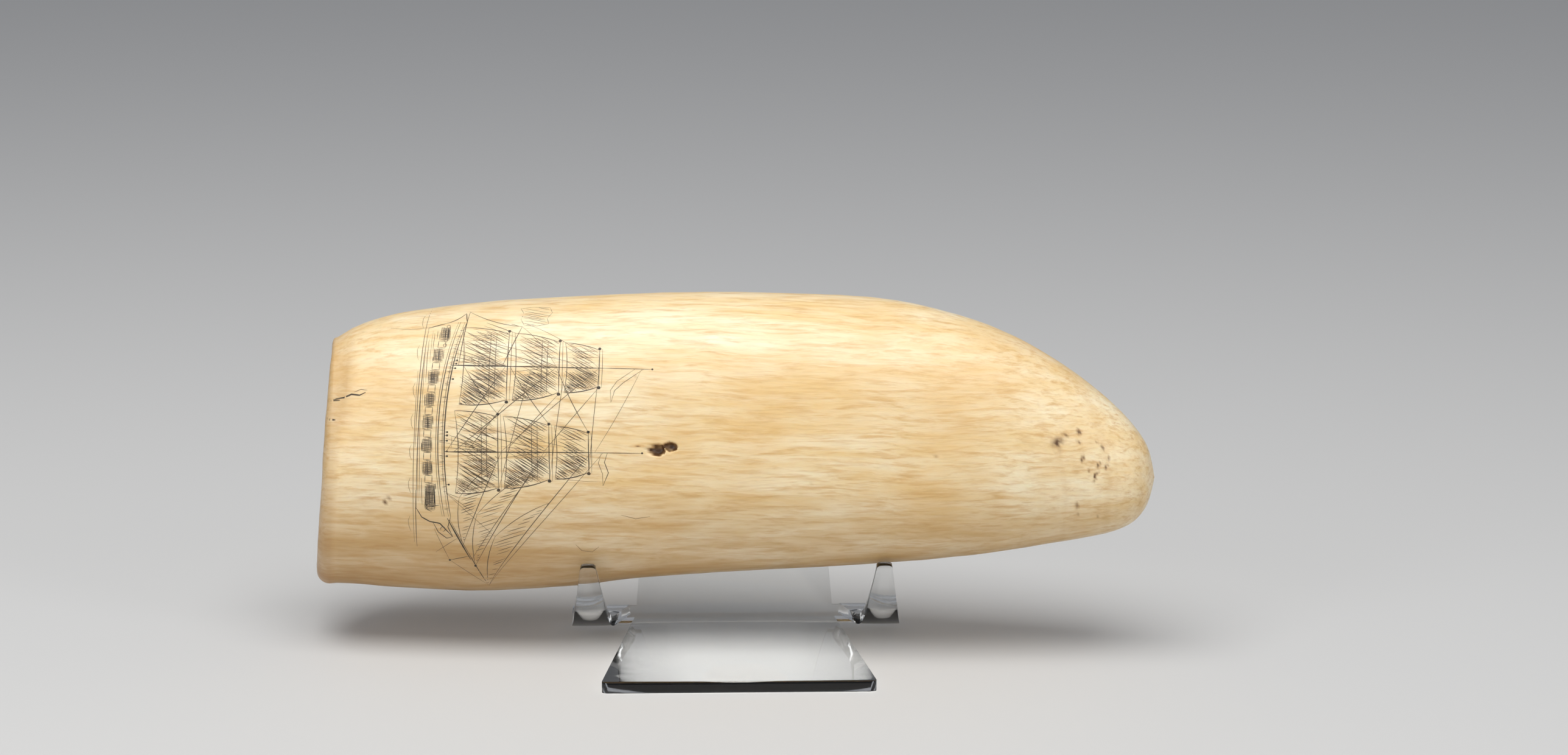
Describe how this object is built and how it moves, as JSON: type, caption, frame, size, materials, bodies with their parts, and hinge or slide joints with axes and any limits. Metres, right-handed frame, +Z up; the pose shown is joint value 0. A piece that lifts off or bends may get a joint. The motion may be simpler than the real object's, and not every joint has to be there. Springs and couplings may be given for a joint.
{
  "type": "scrimshaw whale tooth",
  "caption": "Sawn sperm whale tooth engraved with a full-rigged sailing brig, resting across a clear acrylic cradle with upturned hooks and a leaning back.",
  "frame": {"origin": "middle of the cradle's flat underside, on the surface it stands on", "axes": "+X along the tooth towards its tip, +Y to the back of the cradle away from the engraved face, +Z up"},
  "size_m": [0.1983, 0.0819, 0.0827],
  "materials": {
    "ivory": "polished ivory, cream to honey with ochre streaks and inked engraving",
    "acrylic": "clear polished acrylic sheet"
  },
  "bodies": {
    "root": {"whale_tooth": "ivory", "display_stand": "acrylic"}
  },
  "joints": []
}
